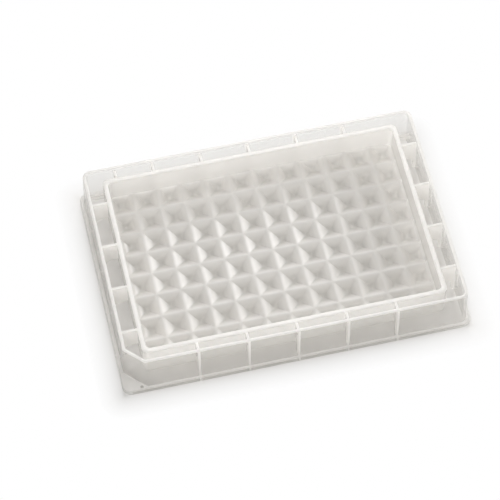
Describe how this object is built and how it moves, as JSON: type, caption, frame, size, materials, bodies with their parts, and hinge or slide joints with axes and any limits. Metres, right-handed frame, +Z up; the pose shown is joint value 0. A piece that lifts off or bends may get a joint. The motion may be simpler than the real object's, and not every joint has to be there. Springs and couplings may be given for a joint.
{
  "type": "reservoir well plate",
  "caption": "Low reservoir well plate: one open rectangular basin with shallow pyramid wells in its floor, tied by ribs to an outer wall on a standard microplate foot.",
  "frame": {"origin": "centre of the foot's underside, on the surface the plate stands on", "axes": "+X along the long side, +Z up out of the basin; the cut corner of the outer wall is at -X, -Y"},
  "size_m": [0.1278, 0.0854, 0.0191],
  "materials": {
    "polypropylene": "translucent natural polypropylene with a soft satin sheen"
  },
  "bodies": {
    "root": {"reservoir_plate": "polypropylene"}
  },
  "joints": []
}
